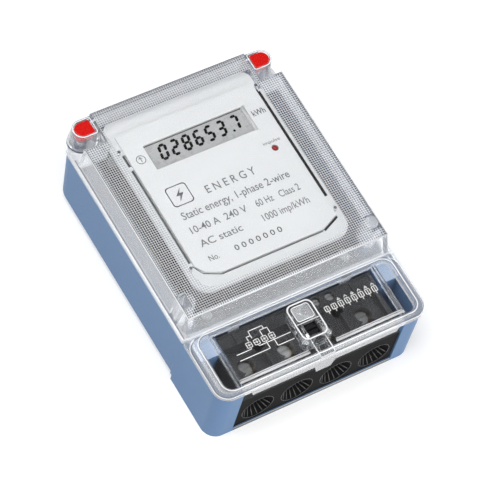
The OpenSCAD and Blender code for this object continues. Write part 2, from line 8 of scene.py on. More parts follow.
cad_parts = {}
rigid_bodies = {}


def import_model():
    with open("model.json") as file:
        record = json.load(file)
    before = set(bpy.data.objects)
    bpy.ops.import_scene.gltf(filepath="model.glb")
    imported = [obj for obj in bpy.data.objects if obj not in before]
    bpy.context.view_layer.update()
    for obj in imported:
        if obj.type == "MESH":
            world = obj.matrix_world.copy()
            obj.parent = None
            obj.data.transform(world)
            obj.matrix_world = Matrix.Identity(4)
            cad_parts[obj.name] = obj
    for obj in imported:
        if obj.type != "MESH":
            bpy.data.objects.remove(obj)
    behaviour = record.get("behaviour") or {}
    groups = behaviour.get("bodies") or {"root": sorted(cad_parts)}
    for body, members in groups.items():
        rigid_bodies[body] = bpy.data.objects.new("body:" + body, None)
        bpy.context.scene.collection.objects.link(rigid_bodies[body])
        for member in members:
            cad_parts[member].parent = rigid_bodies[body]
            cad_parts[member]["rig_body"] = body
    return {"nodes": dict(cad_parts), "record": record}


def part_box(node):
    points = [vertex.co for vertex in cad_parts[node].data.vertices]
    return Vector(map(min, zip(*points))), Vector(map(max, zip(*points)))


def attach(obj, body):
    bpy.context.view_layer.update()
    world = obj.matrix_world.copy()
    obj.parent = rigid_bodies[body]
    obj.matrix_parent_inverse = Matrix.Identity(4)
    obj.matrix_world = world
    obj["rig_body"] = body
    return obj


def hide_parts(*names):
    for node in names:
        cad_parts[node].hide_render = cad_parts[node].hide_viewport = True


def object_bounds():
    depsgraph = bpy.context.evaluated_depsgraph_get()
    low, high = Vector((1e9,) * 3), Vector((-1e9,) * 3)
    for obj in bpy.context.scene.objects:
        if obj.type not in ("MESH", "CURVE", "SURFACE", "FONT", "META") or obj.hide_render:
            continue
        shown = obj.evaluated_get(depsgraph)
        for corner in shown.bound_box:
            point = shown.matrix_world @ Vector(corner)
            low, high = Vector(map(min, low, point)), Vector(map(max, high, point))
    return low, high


# Electricity meter lying on its back. +X is right as the face is read, +Y is towards the
# hanger end, +Z is out of the face. Sizes in this file are millimetres unless they come
# straight from the frame, and MM turns them into metres.
MM = 0.001

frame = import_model()
cad_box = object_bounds()
scene = bpy.context.scene


def box_mm(node):
    """Lowest and highest corner of a CAD node, in millimetres."""
    low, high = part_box(node)
    return low / MM, high / MM


# ---------------------------------------------------------------- camera

CAMERA_AZIMUTH = -45.74
CAMERA_ELEVATION = 58.03
CAMERA_ROLL = 18.2
CAMERA_DISTANCE = 1354.3
CAMERA_TARGET = (-10.4, -14.3, 50.0)
CAMERA_LENS = 220.9


def add_camera():
    """Camera at the photograph's viewing angle."""
    a, e = math.radians(CAMERA_AZIMUTH), math.radians(CAMERA_ELEVATION)
    back = Vector((math.sin(a) * math.cos(e), -math.cos(a) * math.cos(e), math.sin(e)))
    level = Vector((math.cos(a), math.sin(a), 0))
    roll = Matrix.Rotation(math.radians(CAMERA_ROLL), 3, -back)
    right = (roll.inverted() @ level).normalized()
    up = back.cross(right)
    data = bpy.data.cameras.new("camera")
    data.lens = CAMERA_LENS
    data.sensor_width = 36
    data.clip_start, data.clip_end = 0.05, 20
    camera = bpy.data.objects.new("camera", data)
    camera.matrix_world = Matrix.Translation(
        (Vector(CAMERA_TARGET) + back * CAMERA_DISTANCE) * MM
    ) @ Matrix((right, up, back)).transposed().to_4x4()
    scene.collection.objects.link(camera)
    scene.camera = camera


add_camera()


# ---------------------------------------------------------------- materials

class Nodes:
    """A material's node tree, with short ways to add to it."""

    def __init__(self, name):
        self.material = bpy.data.materials.new(name)
        self.material.use_nodes = True
        self.tree = self.material.node_tree
        self.shader = self.tree.nodes["Principled BSDF"]
        self.output = self.tree.nodes["Material Output"]
        self.place = self.add("ShaderNodeTexCoord").outputs["Object"]

    def add(self, kind, **settings):
        """A new node, with its settings and unlinked inputs filled in by name."""
        node = self.tree.nodes.new(kind)
        for key, value in settings.items():
            if hasattr(node, key):
                setattr(node, key, value)
            else:
                node.inputs[key].default_value = value
        return node

    def link(self, source, target):
        self.tree.links.new(source, target)

    def stretched(self, scale):
        """The object coordinates, scaled by an amount on each axis."""
        mapping = self.add("ShaderNodeMapping", Scale=scale)
        self.link(self.place, mapping.inputs["Vector"])
        return mapping.outputs["Vector"]

    def noise(self, size, detail=3.0, stretch=None):
        """Noise with features of about that size in millimetres."""
        node = self.add("ShaderNodeTexNoise", Scale=1 / (size * MM), Detail=detail)
        self.link(self.stretched(stretch) if stretch else self.place, node.inputs["Vector"])
        return node.outputs["Fac"]

    def ramp(self, source, low, high, from_low=0.3, from_high=0.7):
        """A value that goes from low to high as the source does."""
        node = self.add("ShaderNodeMapRange")
        self.link(source, node.inputs["Value"])
        for key, value in zip(("From Min", "From Max", "To Min", "To Max"),
                              (from_low, from_high, low, high)):
            node.inputs[key].default_value = value
        return node.outputs["Result"]

    def blend(self, source, first, second):
        """A colour between two colours."""
        node = self.add("ShaderNodeMix", data_type="RGBA")
        self.link(source, node.inputs["Factor"])
        node.inputs[6].default_value = (*first, 1)
        node.inputs[7].default_value = (*second, 1)
        return node.outputs[2]

    def bump(self, source, height):
        """Relief of that height in millimetres, on the shader's normal."""
        node = self.add("ShaderNodeBump", Strength=1.0, Distance=height * MM)
        self.link(source, node.inputs["Height"])
        self.link(node.outputs["Normal"], self.shader.inputs["Normal"])

    def set(self, **values):
        """Plain values on the shader's own sockets, with _ for a space."""
        for key, value in values.items():
            self.shader.inputs[key.replace("_", " ")].default_value = value


def shade(colour, by):
    return tuple(min(1.0, c * by) for c in colour)


def moulded(name, colour, rough=0.45, grain=0.35, relief=0.012, spread=0.05):
    """Moulded plastic with a fine spark-eroded grain and faint clouding."""
    m = Nodes(name)
    clouds = m.noise(22, 4)
    m.link(m.blend(clouds, shade(colour, 1 - spread), shade(colour, 1 + spread)),
           m.shader.inputs["Base Color"])
    fine = m.noise(grain, 2)
    m.link(m.ramp(fine, rough - 0.06, rough + 0.06), m.shader.inputs["Roughness"])
    m.bump(fine, relief)
    m.set(IOR=1.5)
    return m.material


def metal(name, colour, rough=0.3, stretch=(1, 14, 1), relief=0.004, spread=0.08):
    """Metal with drawn or turned marks along one direction and a little tarnish."""
    m = Nodes(name)
    marks = m.noise(0.5, 4, stretch)
    tarnish = m.noise(5, 3)
    m.link(m.blend(tarnish, shade(colour, 1 - spread), shade(colour, 1 + spread)),
           m.shader.inputs["Base Color"])
    m.link(m.ramp(marks, rough - 0.08, rough + 0.1), m.shader.inputs["Roughness"])
    m.bump(marks, relief)
    m.set(Metallic=1.0)
    return m.material


# height band of the low flanges, where clear() puts white haze as painted reflection
LOW_FLANGE_Z = (38.35 * MM, 38.6 * MM)


def clear(name, tint, haze_flat, steep_haze_and_sheen, low_haze_and_sheen=0.0, rough=0.03, wave=0.01):
    """Clear moulded plastic, hazier on its steep walls and low flanges than on its faces; on the
    covers that extra white haze is painted reflection.
    """
    m = Nodes(name)
    m.set(Base_Color=(*tint, 1), IOR=1.49)
    across = m.add("ShaderNodeSeparateXYZ")
    m.link(m.add("ShaderNodeTexCoord").outputs["Normal"], across.inputs["Vector"])
    flat = m.add("ShaderNodeMath", operation="ABSOLUTE")
    m.link(across.outputs["Z"], flat.inputs[0])
    height = m.add("ShaderNodeSeparateXYZ")
    m.link(m.place, height.inputs["Vector"])
    # on the covers, the extra white haze on steep walls and low flanges is painted reflection of
    # the bright surroundings
    by_wall = m.ramp(flat.outputs[0], 1 - steep_haze_and_sheen, 1 - haze_flat, 0.2, 0.9)
    by_height = m.ramp(height.outputs["Z"], 1 - low_haze_and_sheen, 1.0, *LOW_FLANGE_Z)
    clearer = m.add("ShaderNodeMath", operation="MINIMUM")
    m.link(by_wall, clearer.inputs[0])
    m.link(by_height, clearer.inputs[1])
    m.link(clearer.outputs[0], m.shader.inputs["Transmission Weight"])
    m.link(m.ramp(m.noise(14, 2), rough, rough + 0.04), m.shader.inputs["Roughness"])
    m.bump(m.noise(9, 1), wave)
    path = m.add("ShaderNodeLightPath")
    through = m.add("ShaderNodeBsdfTransparent", Color=(*shade(tint, 0.97), 1))
    mix = m.add("ShaderNodeMixShader")
    m.link(path.outputs["Is Shadow Ray"], mix.inputs["Fac"])
    m.link(m.shader.outputs["BSDF"], mix.inputs[1])
    m.link(through.outputs["BSDF"], mix.inputs[2])
    m.link(mix.outputs["Shader"], m.output.inputs["Surface"])
    return m.material


def hazy(name, tint, haze, rough=0.2):
    """Clear plastic with the same haze all over."""
    return clear(name, tint, haze, haze, haze, rough)


def glassy(name, tint, rough=0.05):
    """Clear plastic with hardly any haze."""
    return clear(name, tint, 0.0, 0.05, 0.0, rough)


def printed(name, colour):
    """Smooth even ink or paint."""
    return moulded(name, colour, 0.5, 1, 0.001, 0.02)


def tuned(material, **values):
    """The material, with plain values on its shader's own sockets."""
    shader = material.node_tree.nodes["Principled BSDF"]
    for key, value in values.items():
        shader.inputs[key.replace("_", " ")].default_value = value
    return material


def circuit(name, mask, track):
    """Solder mask over copper tracks that run along the board's two directions."""
    m = Nodes(name)
    runs = m.add("ShaderNodeTexBrick", Scale=1 / (9 * MM), offset=0.5)
    runs.inputs["Mortar Size"].default_value = 0.09
    m.link(m.place, runs.inputs["Vector"])
    m.link(m.blend(runs.outputs["Fac"], mask, track), m.shader.inputs["Base Color"])
    m.link(m.ramp(m.noise(0.6, 3), 0.22, 0.4), m.shader.inputs["Roughness"])
    m.bump(runs.outputs["Fac"], 0.02)
    return m.material


BLUE = (0.095, 0.172, 0.305)
WHITE = (0.56, 0.56, 0.55)
MATERIALS = {
    "housing_plastic": tuned(moulded("blue_moulding", BLUE, 0.42),
                             Specular_IOR_Level=0.25, IOR=1.35),
    "clear_polycarbonate": clear("clear_moulding", (0.96, 0.97, 0.985), 0.0, 0.17, 0.42),
    "gasket_rubber": moulded("gasket_rubber", (0.45, 0.46, 0.48), 0.6),
    "seal_screw_plastic": moulded("seal_screw_black", (0.012, 0.012, 0.014), 0.3),
    "seal_plastic": moulded("seal_red", (0.56, 0.006, 0.004), 0.25, relief=0.004),
    "zinc_steel": metal("zinc_plate", (0.62, 0.63, 0.65), 0.32),
    "nickel_steel": metal("nickel_plate", (0.50, 0.50, 0.49), 0.34),
    "nameplate_plastic": moulded("white_moulding", WHITE, 0.5, spread=0.015),
    "display_glass": moulded("display_grey", (0.35, 0.35, 0.34), 0.3, 3, 0.002, 0.02),
    "elastomer": moulded("elastomer_grey", (0.06, 0.062, 0.065), 0.7),
    "led_epoxy": moulded("led_red", (0.22, 0.010, 0.012), 0.12, 2, 0.001),
    "black_plastic": moulded("black_moulding", (0.014, 0.014, 0.016), 0.5),
    "circuit_board": circuit("circuit_board", (0.010, 0.014, 0.016), (0.03, 0.036, 0.04)),
    "crystal_can": metal("crystal_can", (0.75, 0.76, 0.77), 0.2),
    "capacitor_yellow": moulded("capacitor_yellow", (0.62, 0.44, 0.03), 0.3),
    "capacitor_sleeve": moulded("capacitor_sleeve", (0.018, 0.03, 0.06), 0.25),
    "varistor_blue": moulded("varistor_blue", (0.02, 0.11, 0.42), 0.25, 1.5, 0.03),
    "opto_white": moulded("opto_white", (0.68, 0.67, 0.62), 0.45),
    "resistor_body": moulded("resistor_blue", (0.12, 0.25, 0.38), 0.3, 1.2, 0.02),
    "terminal_plastic": tuned(
        moulded("terminal_black", (0.034, 0.034, 0.035), 0.34, 0.5, 0.005),
        Specular_IOR_Level=0.35),
    "brass": metal("turned_brass", (0.55, 0.37, 0.13), 0.3),
    "copper": metal("copper_strip", (0.72, 0.34, 0.18), 0.3, (14, 1, 1)),
    "manganin": metal("manganin_strip", (0.30, 0.26, 0.21), 0.4, (14, 1, 1)),
    "lead_insulation": moulded("lead_red", (0.5, 0.03, 0.02), 0.35),
}
# darker, less glossy copy of the terminal plastic on the block's front face and funnels: painted
# shade
FRONT_FACE_SHADE_BLACK = tuned(moulded("terminal_front_painted_shade", (0.005, 0.005, 0.005), 0.55, 0.5, 0.005),
                    IOR=1.12)
# lighter, glossier black for the funnel ribs and rims: painted highlight
RIB_HIGHLIGHT_BLACK = moulded("rib_painted_highlight", (0.06, 0.06, 0.063), 0.22, 0.5, 0.005)
# black for the nameplate's slots and the display's edges: painted shadow
SLOT_SHADOW_BLACK = moulded("painted_slot_shadow", (0.006, 0.006, 0.007), 0.6)
# darker copy of the nickel plate for the front clamp screws: painted shade
SHADED_NICKEL = metal("nickel_painted_shade", (0.16, 0.16, 0.165), 0.42)
# lighter copy of the blue moulding on the upward ledges: painted light
LIT_LEDGE_BLUE = moulded("blue_ledge_painted_light", (0.30, 0.365, 0.465), 0.35)
TERMINAL_CLEAR = clear("clear_terminal_cover", (0.95, 0.96, 0.975), 0.0, 0.22, 0.22, 0.13, 0.02)
GLASSY = glassy("clear_bosses", (0.96, 0.97, 0.985))
# darker clear plastic on the terminal cover's skirt: painted shade
SHADED_SKIRT_CLEAR = glassy("clear_skirt_painted_shade", (0.66, 0.67, 0.69), 0.08)
# darker, bluer clear plastic in the lower cover-screw wells: painted shade
SHADED_WELL_CLEAR = glassy("clear_low_wells_painted_shade", (0.66, 0.70, 0.77))
MILKY = hazy("milky_pane", (0.88, 0.89, 0.9), 0.15, 0.12)
GLEAM = hazy("inner_edge_gleam", (0.9, 0.905, 0.915), 0.36)
# dark strips along the covers' edges: painted shade
EDGE_SHADE = hazy("painted_edge_shade", (0.25, 0.26, 0.28), 0.5)
# white strips along the covers' and the boss's edges: painted highlight
EDGE_HIGHLIGHT = hazy("painted_edge_highlight", (0.9, 0.905, 0.915), 0.6)
# grain finishes: white haze on the flanks is painted sheen, the grey tints are painted shade
FLANK_SHEEN_AND_SHADE = hazy("flank_painted_sheen_and_shade", (0.72, 0.725, 0.74), 0.7, 0.35)
TOP_FLANK_SHEEN_AND_SHADE = hazy("top_flank_painted_sheen_and_shade", (0.58, 0.585, 0.60), 0.6, 0.35)
TOP_FACET_SHADE = hazy("top_facet_painted_shade", (0.65, 0.655, 0.67), 0.2)
SIDE_FACET_SHADE = hazy("side_facet_painted_shade", (0.82, 0.825, 0.835), 0.0, 0.05)
SHOULDER_GREY = printed("shoulder_grey", (0.43, 0.43, 0.42))
PRINT_AND_SHADE_GREY = printed("print_and_shade_grey", (0.13, 0.13, 0.13))
PRINT_DARK = printed("print_dark", (0.05, 0.05, 0.05))
PRINT_WHITE = printed("print_white", (0.92, 0.92, 0.92))
DIGIT_BLACK = tuned(printed("display_black", (0.003, 0.003, 0.003)), IOR=1.1)


# ---------------------------------------------------------------- pieces

def slot_of(node):
    """The record's material slot of a CAD node."""
    for part in frame["record"]["subparts"]:
        if part["node"] == node:
            return part["material_slot"]
    raise KeyError(node)


def new_object(name, bm, material):
    """An object made from a bmesh, in the scene."""
    mesh = bpy.data.meshes.new(name)
    bm.to_mesh(mesh)
    bm.free()
    mesh.shade_smooth()
    mesh.materials.append(material)
    obj = bpy.data.objects.new(name, mesh)
    scene.collection.objects.link(obj)
    return obj


def rounded_edges(obj, width):
    """Rounds an object's sharp edges and keeps its flat faces flat."""
    bevel = obj.modifiers.new("edges", "BEVEL")
    bevel.width, bevel.segments = width * MM, 2
    bevel.limit_method, bevel.angle_limit = "ANGLE", math.radians(35)
    flat = obj.modifiers.new("flat faces", "WEIGHTED_NORMAL")
    flat.keep_sharp = True


def added(name, bm, body, slot, material=None, bevel=0.0):
    """A new piece that rides on a CAD body, in the given material, else in the finish of the
    record's slot.
    """
    obj = new_object(name, bm, material or MATERIALS[slot])
    if bevel:
        rounded_edges(obj, bevel)
    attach(obj, body)
    return obj


ROUNDED_CORNERS = {"seal_cap_left": 1.1, "seal_cap_right": 1.1}
# the front cover's screws stand this far off the faces that they seat on
SEATED = [f"cover_screw_{row}_{side}" for row in ("top", "low") for side in ("left", "right")]
SEAT_GAP = 0.03 * MM


def is_upright_corner(edge):
    """True for a sharp corner edge that runs straight up."""
    along = (edge.verts[1].co - edge.verts[0].co).normalized()
    return abs(along.z) > 0.99 and edge.calc_face_angle(0) > math.radians(60)


def finished(node, bevel):
    """A CAD node's shape with its facets joined and its edges rounded, standing for the node."""
    source = frame["nodes"][node]
    bm = bmesh.new()
    bm.from_mesh(source.data)
    bmesh.ops.remove_doubles(bm, verts=bm.verts, dist=1e-6)
    bmesh.ops.dissolve_limit(bm, angle_limit=math.radians(1), verts=bm.verts, edges=bm.edges)
    if node in ROUNDED_CORNERS:
        corners = [e for e in bm.edges if is_upright_corner(e)]
        bmesh.ops.bevel(bm, geom=corners, offset=ROUNDED_CORNERS[node] * MM, segments=4,
                        profile=0.5, affect="EDGES")
    if node in SEATED:
        for v in bm.verts:
            v.co.z += SEAT_GAP
    obj = added(f"{node}_shape", bm, source["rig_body"], slot_of(node),
                FINISHES.get(node), bevel)
    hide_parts(node)
    return obj


BEVELS = {
    "base_shell": 0.35, "front_cover": 0.3, "terminal_cover": 0.25, "nameplate": 0.3,
    "terminal_cover_screw": 0.25, "seal_cap_left": 0.45, "seal_cap_right": 0.45,
    "cover_screw_top_left": 0.2, "cover_screw_top_right": 0.2,
    "cover_screw_low_left": 0.2, "cover_screw_low_right": 0.2,
    "terminal_block": 0.3, "aux_screw_left": 0.15, "aux_screw_right": 0.15,
    "hanger_plate": 0.25, "lcd_glass": 0.15, "lcd_holder": 0.2, "led_spacer": 0.15,
    "main_board": 0.12, "board_screws": 0.15, "metering_chip": 0.08,
    "controller_chip": 0.08, "crystal": 0.4, "x_capacitor": 0.5,
    "electrolytic_capacitors": 0.4, "varistor": 0.8, "optocoupler": 0.25,
    "dropper_resistors": 0.3, "aux_contacts": 0.2, "block_screws": 0.15,
    "shunt": 0.15, "shunt_bar": 0.12, "neutral_link": 0.15, "pulse_led": 0.1,
    "cover_gasket": 0.1, "lcd_connectors": 0.1, "sense_leads": 0.1,
}
for i in range(1, 5):
    BEVELS[f"terminal_{i}"] = 0.3
    for end in ("front", "rear"):
        BEVELS[f"clamp_screw_{i}_{end}"] = 0.25

# nodes whose finish differs from that of their material slot
FINISHES = {"terminal_cover": TERMINAL_CLEAR,
            **{f"clamp_screw_{i}_front": SHADED_NICKEL for i in range(1, 5)}}

SHAPES = {node: finished(node, bevel) for node, bevel in BEVELS.items()}


def refinish(node, material, chosen):
    """Gives the faces whose corners all lie in a region another material."""
    mesh = SHAPES[node].data
    mesh.materials.append(material)
    index = len(mesh.materials) - 1
    for face in mesh.polygons:
        if all(chosen(mesh.vertices[v].co / MM) for v in face.vertices):
            face.material_index = index


def in_seal_well(c):
    return abs(c.x) > 41.6 and c.y > 59.5 and c.z > 38.0


def in_low_well(c):
    return abs(c.x) > 46.5 and abs(c.y + 29) < 4.9 and 38.0 < c.z < 50.4


def in_boss_or_rib(c):
    boss = abs(c.x) < 8 and -69.5 < c.y < -46
    rib = 42.1 < abs(c.x) < 44.5 and -73 < c.y < -44.3 and 36 < c.z < 39.2
    return boss or rib


def on_skirt(c):
    return c.y < -75 and c.z < 37


def on_ledge(c):
    return abs(c.x) > 43 and -54 < c.y < -41 and 35.4 < c.z < 36.4


def on_block_front(c):
    return c.y < -69.4 and c.z < 27.1


refinish("front_cover", GLASSY, in_seal_well)
refinish("front_cover", SHADED_WELL_CLEAR, in_low_well)
refinish("terminal_cover", GLASSY, in_boss_or_rib)
refinish("terminal_cover", SHADED_SKIRT_CLEAR, on_skirt)
refinish("base_shell", LIT_LEDGE_BLUE, on_ledge)
refinish("terminal_block", FRONT_FACE_SHADE_BLACK, on_block_front)


# ---------------------------------------------------------------- outlines and prints

def prism(bm, outline, z0, z1):
    """A closed upright prism on an outline of points in millimetres."""
    low = [bm.verts.new((x * MM, y * MM, z0 * MM)) for x, y in outline]
    high = [bm.verts.new((x * MM, y * MM, z1 * MM)) for x, y in outline]
    bm.faces.new(reversed(low))
    bm.faces.new(high)
    count = len(outline)
    for i in range(count):
        j = (i + 1) % count
        bm.faces.new((low[i], low[j], high[j], high[i]))


def arc(cx, cy, r, start, end, steps):
    """Points along an arc, from one angle to another in degrees."""
    angles = [math.radians(start + (end - start) * i / steps) for i in range(steps + 1)]
    return [(cx + r * math.cos(a), cy + r * math.sin(a)) for a in angles]


def stroke(bm, points, width, z0, z1, closed=False):
    """A line of that width through the points, as flat bars that meet at each point."""
    ends = points + points[:1] if closed else points
    for (x0, y0), (x1, y1) in zip(ends, ends[1:]):
        length = math.hypot(x1 - x0, y1 - y0)
        ux, uy = (x1 - x0) / length * width / 2, (y1 - y0) / length * width / 2
        prism(bm, [(x0 - ux + uy, y0 - uy - ux), (x1 + ux + uy, y1 + uy - ux),
                   (x1 + ux - uy, y1 + uy + ux), (x0 - ux - uy, y0 - uy + ux)], z0, z1)


def rectangle(x0, x1, y0, y1):
    return [(x0, y0), (x1, y0), (x1, y1), (x0, y1)]


def rounded(x0, x1, y0, y1, r, steps=6):
    """A rectangle with round corners, from the lower left, counter-clockwise."""
    return (arc(x0 + r, y0 + r, r, 180, 270, steps) + arc(x1 - r, y0 + r, r, 270, 360, steps)
            + arc(x1 - r, y1 - r, r, 0, 90, steps) + arc(x0 + r, y1 - r, r, 90, 180, steps))


LETTER_SIZE = 10.0
LETTER_DEPTH = 0.02
LETTER_WEIGHT = 0.08
CAPITAL_HEIGHT = 7.3


def lettering(name, text, x0, x1, y, height, z, material, body):
    """Raised print of generic words and numbers, from x0 to x1 on the line at y."""
    data = bpy.data.curves.new(name, "FONT")
    data.body, data.size = text, LETTER_SIZE * MM
    data.extrude, data.offset = LETTER_DEPTH * MM, LETTER_WEIGHT * MM
    data.resolution_u = 3
    shape = bpy.data.objects.new(name, data)
    scene.collection.objects.link(shape)
    bpy.context.view_layer.update()
    mesh = bpy.data.meshes.new_from_object(shape)
    bpy.data.objects.remove(shape)
    xs = [v.co.x for v in mesh.vertices]
    wide = (x1 - x0) * MM / (max(xs) - min(xs))
    for v in mesh.vertices:
        v.co.x = x0 * MM + (v.co.x - min(xs)) * wide
        v.co.y = y * MM + v.co.y * height / CAPITAL_HEIGHT
        v.co.z += z * MM
    mesh.materials.clear()
    mesh.materials.append(material)
    obj = bpy.data.objects.new(name, mesh)
    scene.collection.objects.link(obj)
    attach(obj, body)
    return obj


# ---------------------------------------------------------------- nameplate

INK = 0.03
PLATE_TOP = box_mm("nameplate")[1].z


def print_icons():
    """Plain icons on the nameplate: a bolt in a square, and an arrow in a ring."""
    levels = PLATE_TOP, PLATE_TOP + INK
    bm = bmesh.new()
    stroke(bm, rounded(-28.9, -18.6, 16.2, 26.6, 1.6), 0.5, *levels, True)
    bolt = [(-25.1, 17.9), (-21.4, 22.0), (-23.4, 22.3), (-21.8, 25.0),
            (-25.6, 21.2), (-23.7, 20.9)]
    prism(bm, bolt, *levels)
    stroke(bm, arc(-30.8, 45.1, 2.2, 0, 345, 23), 0.3, *levels, True)
    stroke(bm, [(-30.8, 43.8), (-30.8, 46.4)], 0.3, *levels)
    stroke(bm, [(-31.6, 45.6), (-30.8, 46.4), (-30.0, 45.6)], 0.3, *levels)
    added("nameplate_icons", bm, "housing", "nameplate_plastic", PRINT_AND_SHADE_GREY)


# key, words, left and right end, line, letter height, ink
PLATE_LINES = [
    ("unit", "kWh", 29.2, 36.0, 44.0, 3.3, PRINT_DARK),
    ("pulse", "impulse", 25.4, 34.4, 28.2, 1.7, PRINT_AND_SHADE_GREY),
    ("title", "E N E R G Y", -11.3, 14.9, 16.7, 4.3, PRINT_AND_SHADE_GREY),
    ("kind", "Static energy, 1-phase 2-wire", -28.6, 28.4, 8.7, 4.2, PRINT_AND_SHADE_GREY),
    ("rating_a", "10-40 A  240 V", -28.6, 1.0, 0.8, 3.8, PRINT_AND_SHADE_GREY),
    ("rating_b", "60 Hz   Class 2", 6.0, 29.4, 0.8, 3.8, PRINT_AND_SHADE_GREY),
    ("rating_c", "AC static", -28.1, -6.0, -7.1, 3.8, PRINT_AND_SHADE_GREY),
    ("rating_d", "1000 imp/kWh", 5.2, 29.9, -7.1, 3.8, PRINT_AND_SHADE_GREY),
    ("serial_a", "No.", -28.1, -23.1, -15.1, 3.1, PRINT_AND_SHADE_GREY),
    ("serial_b", "0 0 0 0 0 0 0", -14.6, 10.4, -15.1, 3.0, PRINT_DARK),
]


def print_plate():
    """The icons and the lines of generic words and ratings."""
    print_icons()
    for key, text, x0, x1, y, height, material in PLATE_LINES:
        lettering(f"nameplate_{key}", text, x0, x1, y, height, PLATE_TOP,
                  material, "housing")


print_plate()


# ---------------------------------------------------------------- display

READING = "028653.7"
DIGIT_H = 8.6
DIGIT_W = 4.5
DIGIT_PITCH = 6.2
DIGIT_LEAN = math.tan(math.radians(9))
SEGMENT_T = 1.38
SEGMENT_GAP = 0.06
FIRST_DIGIT_X = -18.5
DIGITS_RAISED = 0.95
POINT_R = 0.62
POINT_SPACE = 1.2
SEGMENTS_LIT = {
    "0": "abcdef", "1": "bc", "2": "abged", "3": "abgcd", "4": "fgbc",
    "5": "afgcd", "6": "afgedc", "7": "abc", "8": "abcdefg", "9": "abcdfg",
}


def segment(x0, y0, x1, y1):
    """A six-sided display segment from one point to another."""
    length = math.hypot(x1 - x0, y1 - y0)
    ux, uy = (x1 - x0) / length, (y1 - y0) / length
    h = SEGMENT_T / 2
    a, b = SEGMENT_GAP + h * 0.15, h
    return [(x0 + ux * a, y0 + uy * a), (x0 + ux * b + uy * h, y0 + uy * b - ux * h),
            (x1 - ux * b + uy * h, y1 - uy * b - ux * h), (x1 - ux * a, y1 - uy * a),
            (x1 - ux * b - uy * h, y1 - uy * b + ux * h),
            (x0 + ux * b - uy * h, y0 + uy * b + ux * h)]


def show_reading():
    """The lit segments, printed-thin, on the display glass."""
    low, high = box_mm("lcd_glass")
    z = high.z
    mid_y = (low.y + high.y) / 2 + DIGITS_RAISED
    w, h = DIGIT_W - SEGMENT_T, (DIGIT_H - SEGMENT_T) / 2
    bars = {"a": (0, 2 * h, w, 2 * h), "g": (0, h, w, h), "d": (0, 0, w, 0),
            "f": (0, h, 0, 2 * h), "b": (w, h, w, 2 * h),
            "e": (0, 0, 0, h), "c": (w, 0, w, h)}
    bm = bmesh.new()
    x = FIRST_DIGIT_X
    for mark in READING:
        if mark == ".":
            cx, cy = x - DIGIT_PITCH + DIGIT_W + 0.55, mid_y - h + 0.1
            prism(bm, arc(cx, cy, POINT_R, 0, 330, 11), z, z + INK)
            x += POINT_SPACE
            continue
        for key in SEGMENTS_LIT[mark]:
            shape = segment(*bars[key])
            prism(bm, [(x + px - w / 2 + (py - h) * DIGIT_LEAN, mid_y + py - h)
                       for px, py in shape], z, z + INK)
        x += DIGIT_PITCH
    added("lcd_digits", bm, "housing", "display_glass", DIGIT_BLACK)


SLOT_LEVELS = 45.9, 46.25
GROOVE_LEVELS = 45.35, 45.5
CARRIER_TOP = 46.3


def paint_nameplate_shade():
    """Painted shadow: black strips in the long slot beside the raised panel and in the slot at
    its cut corner, a dark line along the panel's lower left edge, and dark strips on the display
    along its top and left edges. Painted shade: grey strips in the grooves, and a grey strip
    beside the display's right edge."""
    glass_top = box_mm("lcd_glass")[1].z
    bm = bmesh.new()
    # black strips in the slots: painted shadow
    prism(bm, rectangle(37.65, 39.65, -6.7, 55.8), *SLOT_LEVELS)
    prism(bm, rectangle(37.65, 38.95, 55.9, 57.3), *SLOT_LEVELS)
    prism(bm, [(28.6, -22.0), (37.6, -18.0), (38.0, -18.8), (29.1, -22.8)], *SLOT_LEVELS)
    # dark line along the raised panel's lower left edge: painted shadow
    stroke(bm, [(-36.6, -13.6), (-33.8, -18.7), (-26.4, -22.3)], 0.4,
           CARRIER_TOP, CARRIER_TOP + INK)
    # dark strips on the display glass along its top and left edges: painted shadow of the
    # window's walls
    prism(bm, rectangle(-26.3, 26.0, 50.85, 51.25), glass_top, glass_top + INK)
    prism(bm, rectangle(-26.3, -25.9, 37.5, 51.2), glass_top, glass_top + INK)
    added("nameplate_slot_shadow_strips", bm, "housing", "nameplate_plastic", SLOT_SHADOW_BLACK)
    # grey strips in the grooves round the raised panel: painted shade
    bm = bmesh.new()
    prism(bm, rectangle(-37.4, -36.2, -11.5, 42.2), *GROOVE_LEVELS)
    prism(bm, rectangle(-37.4, -36.2, 44.4, 50.9), *GROOVE_LEVELS)
    prism(bm, rectangle(-26.0, 28.0, -22.6, -22.0), *GROOVE_LEVELS)
    added("nameplate_groove_shade_strips", bm, "housing", "nameplate_plastic", PRINT_AND_SHADE_GREY)
    # grey strip on the plate beside the display's right edge: painted shade of the window's
    # chamfer
    bm = bmesh.new()
    prism(bm, [(26.1, 37.3), (27.7, 36.9), (27.7, 51.7), (26.1, 51.3)],
          PLATE_TOP, PLATE_TOP + INK)
    added("lcd_bezel_chamfer_shade", bm, "housing", "nameplate_plastic", SHOULDER_GREY)


show_reading()
paint_nameplate_shade()


# ---------------------------------------------------------------- front cover's grain

GRAIN_PITCH = 1.15
GRAIN_H = 0.14
GRAIN_FLAT = 0.382
GRAIN_GAP = 0.005
GRAIN_FINISHES = (FLANK_SHEEN_AND_SHADE, TOP_FLANK_SHEEN_AND_SHADE, TOP_FACET_SHADE, SIDE_FACET_SHADE)
WINDOW = (-39.3, 39.3, -28.2, 66.4)
WINDOW_R = 8.0


def in_window(x, y):
    """True inside the smooth window, whose two lower corners are round."""
    x0, x1, y0, y1 = WINDOW
    if not (x0 < x < x1 and y0 < y < y1):
        return False
    dx, dy = abs(x) - (x1 - WINDOW_R), (y0 + WINDOW_R) - y
    return dx <= 0 or dy <= 0 or math.hypot(dx, dy) < WINDOW_R


def in_well(x, y):
    """True over the corner notches and the wells of the lower cover screws."""
    notch = abs(x) > 40.7 and y > 58.7
    well = abs(x) > 47.6 and abs(y + 29) < 4.0
    return notch or well


